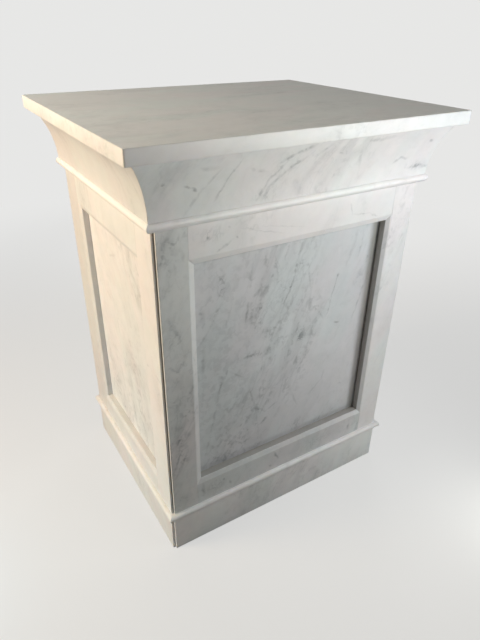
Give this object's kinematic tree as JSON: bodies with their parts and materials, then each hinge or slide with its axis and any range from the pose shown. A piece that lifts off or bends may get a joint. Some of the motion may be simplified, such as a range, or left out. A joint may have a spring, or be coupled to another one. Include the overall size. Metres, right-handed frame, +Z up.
{
  "type": "pedestal stand",
  "caption": "Oblong display pedestal of veined white marble slabs: recessed panels in bevelled frames, bead mouldings, cove cornice, overhanging top and skirt.",
  "frame": {"origin": "middle of the footprint, on the floor", "axes": "+Z up, the wide panelled face that the picture shows towards -Y, the narrow sides towards -X and +X"},
  "size_m": [0.836, 0.702, 1.07],
  "materials": {
    "white_marble": "honed, grey veins",
    "post_wood": "planed, bare",
    "plywood": "sanded, bare"
  },
  "bodies": {
    "root": {"back_panel": "white_marble", "back_rail_bottom": "white_marble", "back_rail_top": "white_marble", "back_spacer_bottom": "white_marble", "back_spacer_left": "white_marble", "back_spacer_right": "white_marble", "back_spacer_top": "white_marble", "back_stile_left": "white_marble", "back_stile_right": "white_marble", "corner_post_back_left": "post_wood", "corner_post_back_right": "post_wood", "corner_post_front_left": "post_wood", "corner_post_front_right": "post_wood", "cove_back": "white_marble", "cove_front": "white_marble", "cove_left": "white_marble", "cove_right": "white_marble", "foot_board": "plywood", "front_panel": "white_marble", "front_rail_bottom": "white_marble", "front_rail_top": "white_marble", "front_spacer_bottom": "white_marble", "front_spacer_left": "white_marble", "front_spacer_right": "white_marble", "front_spacer_top": "white_marble", "front_stile_left": "white_marble", "front_stile_right": "white_marble", "left_panel": "white_marble", "left_rail_bottom": "white_marble", "left_rail_top": "white_marble", "left_stile_back": "white_marble", "left_stile_front": "white_marble", "lower_bead_back": "white_marble", "lower_bead_front": "white_marble", "lower_bead_left": "white_marble", "lower_bead_right": "white_marble", "right_panel": "white_marble", "right_rail_bottom": "white_marble", "right_rail_top": "white_marble", "right_stile_back": "white_marble", "right_stile_front": "white_marble", "skirt_back": "white_marble", "skirt_front": "white_marble", "skirt_left": "white_marble", "skirt_right": "white_marble", "top_board": "plywood", "top_slab": "white_marble", "upper_bead_back": "white_marble", "upper_bead_front": "white_marble", "upper_bead_left": "white_marble", "upper_bead_right": "white_marble"}
  },
  "joints": []
}
